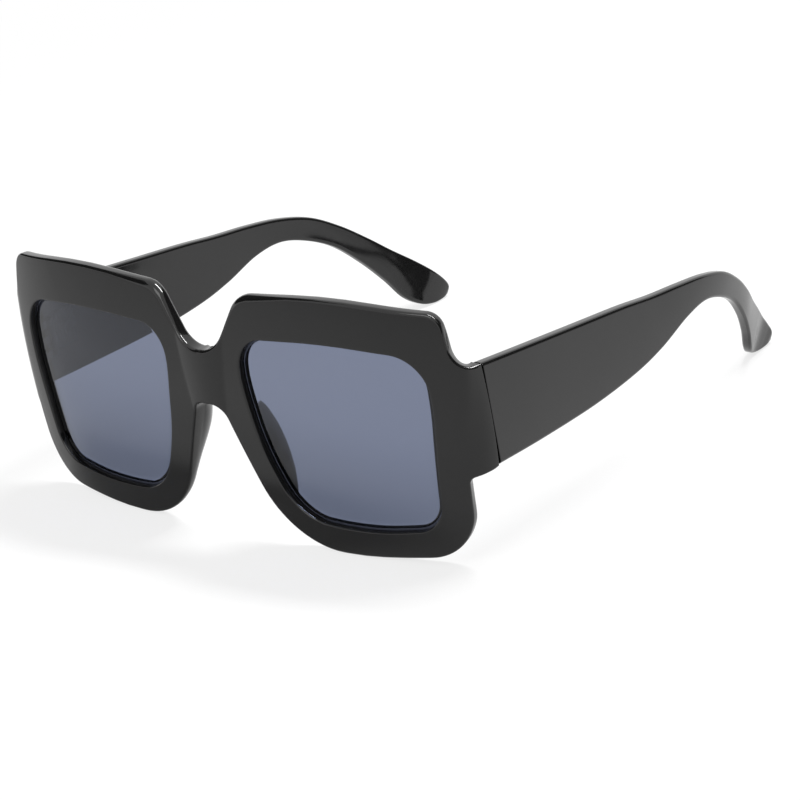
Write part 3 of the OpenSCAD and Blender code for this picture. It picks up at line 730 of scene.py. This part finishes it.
def lit_sheet(owner):
    """A pale sheet. The camera and glass see it partly as plain white near the glasses, so that their
    shadow stays, and wholly so further off. What gloss sees is painted light: a painted shadow in a long
    oval pool just before the front, and painted light that is brighter towards the back and the left
    temple."""
    f = Finish(owner)
    rays = f.node("ShaderNodeLightPath")
    along = f.vector("DOT_PRODUCT", f.at(), back_way)["Value"]
    from_shadow_pool = f.far_from(shadow_pool_centre, shadow_pool_scale)
    far_off = f.far_from((0, 0, 0), (1, 1, 1))
    straight = rays["Is Camera Ray"] + rays["Is Transmission Ray"]
    seen = f.spread(far_off, shadow_near, shadow_far, shadow_level, 1.0) * straight
    pale = f.node("ShaderNodeBsdfDiffuse", {}, {"Color": (0.9, 0.9, 0.9, 1)})
    white = f.node("ShaderNodeEmission", {}, {"Color": (1, 1, 1, 1), "Strength": 1.0})
    # Painted shadow in the pool, and painted light beyond it and towards the back.
    pool_painted_shadow = f.spread(from_shadow_pool, pool_in, pool_edge, shadow_pool_level, edge_level)
    painted_glow = pool_painted_shadow + f.spread(from_shadow_pool, pool_edge, pool_out, 0, added_level)
    painted_glow = painted_glow * f.spread(along, dim_from, 0.0, dim_level, 1.0)
    painted_glow = f.blend(painted_glow, (0, 0, 0), (1, 1, 1))
    mirrored = f.node("ShaderNodeEmission", {}, {"Color": painted_glow, "Strength": 1.0})
    lit = f.node("ShaderNodeMixShader", {}, {0: seen, 1: pale, 2: white})
    in_gloss = mirror_share * rays["Is Glossy Ray"]
    sheet = f.node("ShaderNodeMixShader", {}, {0: in_gloss, 1: lit, 2: mirrored})
    f.node("ShaderNodeOutputMaterial", {}, {"Surface": sheet})
    return owner


def unit(way):
    """The vector of length one in a direction."""
    return way / np.linalg.norm(way)


def card(name, centre, facing_to, size):
    """A flat rectangle round centre that faces a place."""
    toward = unit(np.subtract(facing_to, centre))
    wide = unit(np.cross([0, 0, 1], toward))
    high = np.cross(toward, wide)
    ends = np.array([[-1, -1], [1, -1], [1, 1], [-1, 1]]) / 2 * size
    corners = np.asarray(centre) + ends[:, :1] * wide + ends[:, 1:] * high
    mesh = bpy.data.meshes.new(name)
    mesh.from_pydata(corners.tolist(), [], [[0, 1, 2, 3]])
    made = bpy.data.objects.new(name, mesh)
    bpy.context.scene.collection.objects.link(made)
    return made


table_half, table_z = 4, -1e-4
table_ends = [(-1, -1), (1, -1), (1, 1), (-1, 1)]
table_places = [(x * table_half, y * table_half, table_z) for x, y in table_ends]
table_mesh = bpy.data.meshes.new("table")
table_mesh.from_pydata(table_places, [], [[0, 1, 2, 3]])
table = bpy.data.objects.new("table", table_mesh)
bpy.context.scene.collection.objects.link(table)
table_mesh.materials.append(lit_sheet(bpy.data.materials.new("white_table")))

black = bpy.data.materials.new("black_card")
dark = Finish(black)
dark_face = dark.node("ShaderNodeEmission", {}, {"Color": (0.02, 0.02, 0.02, 1), "Strength": 1.0})
dark.node("ShaderNodeOutputMaterial", {}, {"Surface": dark_face})
glasses_middle = (0, 0, 0.03)
cards = [
    card("card_behind", (0.75, 0.75, 0.62), glasses_middle, (1.5, 0.9)),
    card("card_beside", (-1.0, -0.25, 0.62), glasses_middle, (1.4, 0.9)),
    card("card_right", (1.1, -0.35, 0.42), glasses_middle, (1.7, 0.7))]
for made in cards:
    made.data.materials.append(black)
    made.visible_camera = False
    made.visible_diffuse = False
    made.visible_transmission = False
    made.visible_shadow = False


def soft_box(name, centre, facing_to, wide_by, high_by, power):
    """A rectangular lamp that shines from centre towards a place."""
    lamp = bpy.data.lights.new(name, "AREA")
    lamp.shape, lamp.size, lamp.size_y, lamp.energy = "RECTANGLE", wide_by, high_by, power
    made = bpy.data.objects.new(name, lamp)
    back = unit(np.subtract(centre, facing_to))
    wide = unit(np.cross([0, 1, 0], back))
    turned = np.eye(4)
    turned[:3, :3] = np.stack([wide, np.cross(back, wide), back], 1)
    turned[:3, 3] = centre
    made.matrix_world = Matrix(turned)
    bpy.context.scene.collection.objects.link(made)


soft_box("soft_box_high", (0.20, 0.35, 0.95), (0, 0, 0), 0.6, 0.14, 11)
soft_box("soft_box_front", (0.1, -0.9, 0.9), (0, 0, 0), 0.6, 0.6, 3)

world = bpy.data.worlds.new("studio")
bpy.context.scene.world = world
air = Finish(world)
rays = air.node("ShaderNodeLightPath")
seen = rays["Is Camera Ray"] + rays["Is Glossy Ray"] + rays["Is Transmission Ray"]
level = air.spread(seen, 0, 1, air_level, 1.0)
sky = air.node("ShaderNodeBackground", {}, {"Color": (1, 1, 1, 1), "Strength": level})
air.node("ShaderNodeOutputWorld", {}, {"Surface": sky})

# The camera, where the photograph was taken from: in front of the wearer's left rim, a little
# above it and tilted.
camera_data = bpy.data.cameras.new("camera")
camera_data.lens = 165.19
camera_data.sensor_width = 36
camera_data.shift_x = 0.05632
camera_data.shift_y = -0.00405
camera_data.clip_start = 0.01
camera = bpy.data.objects.new("camera", camera_data)
azimuth, height, roll = math.radians(46.856), math.radians(21.260), math.radians(-11.256)
flat = math.cos(height)
back = np.array([math.sin(azimuth) * flat, -math.cos(azimuth) * flat, math.sin(height)])
level_right = unit(np.cross(-back, [0, 0, 1]))
level_up = np.cross(level_right, -back)
right = math.cos(roll) * level_right + math.sin(roll) * level_up
up = -math.sin(roll) * level_right + math.cos(roll) * level_up
pose = np.eye(4)
pose[:3, :3] = np.stack([right, up, back], 1)
pose[:3, 3] = [0.62211, -0.60635, 0.34833]
camera.matrix_world = Matrix(pose)
bpy.context.scene.collection.objects.link(camera)
bpy.context.scene.camera = camera

bpy.context.scene.view_settings.view_transform = "Standard"
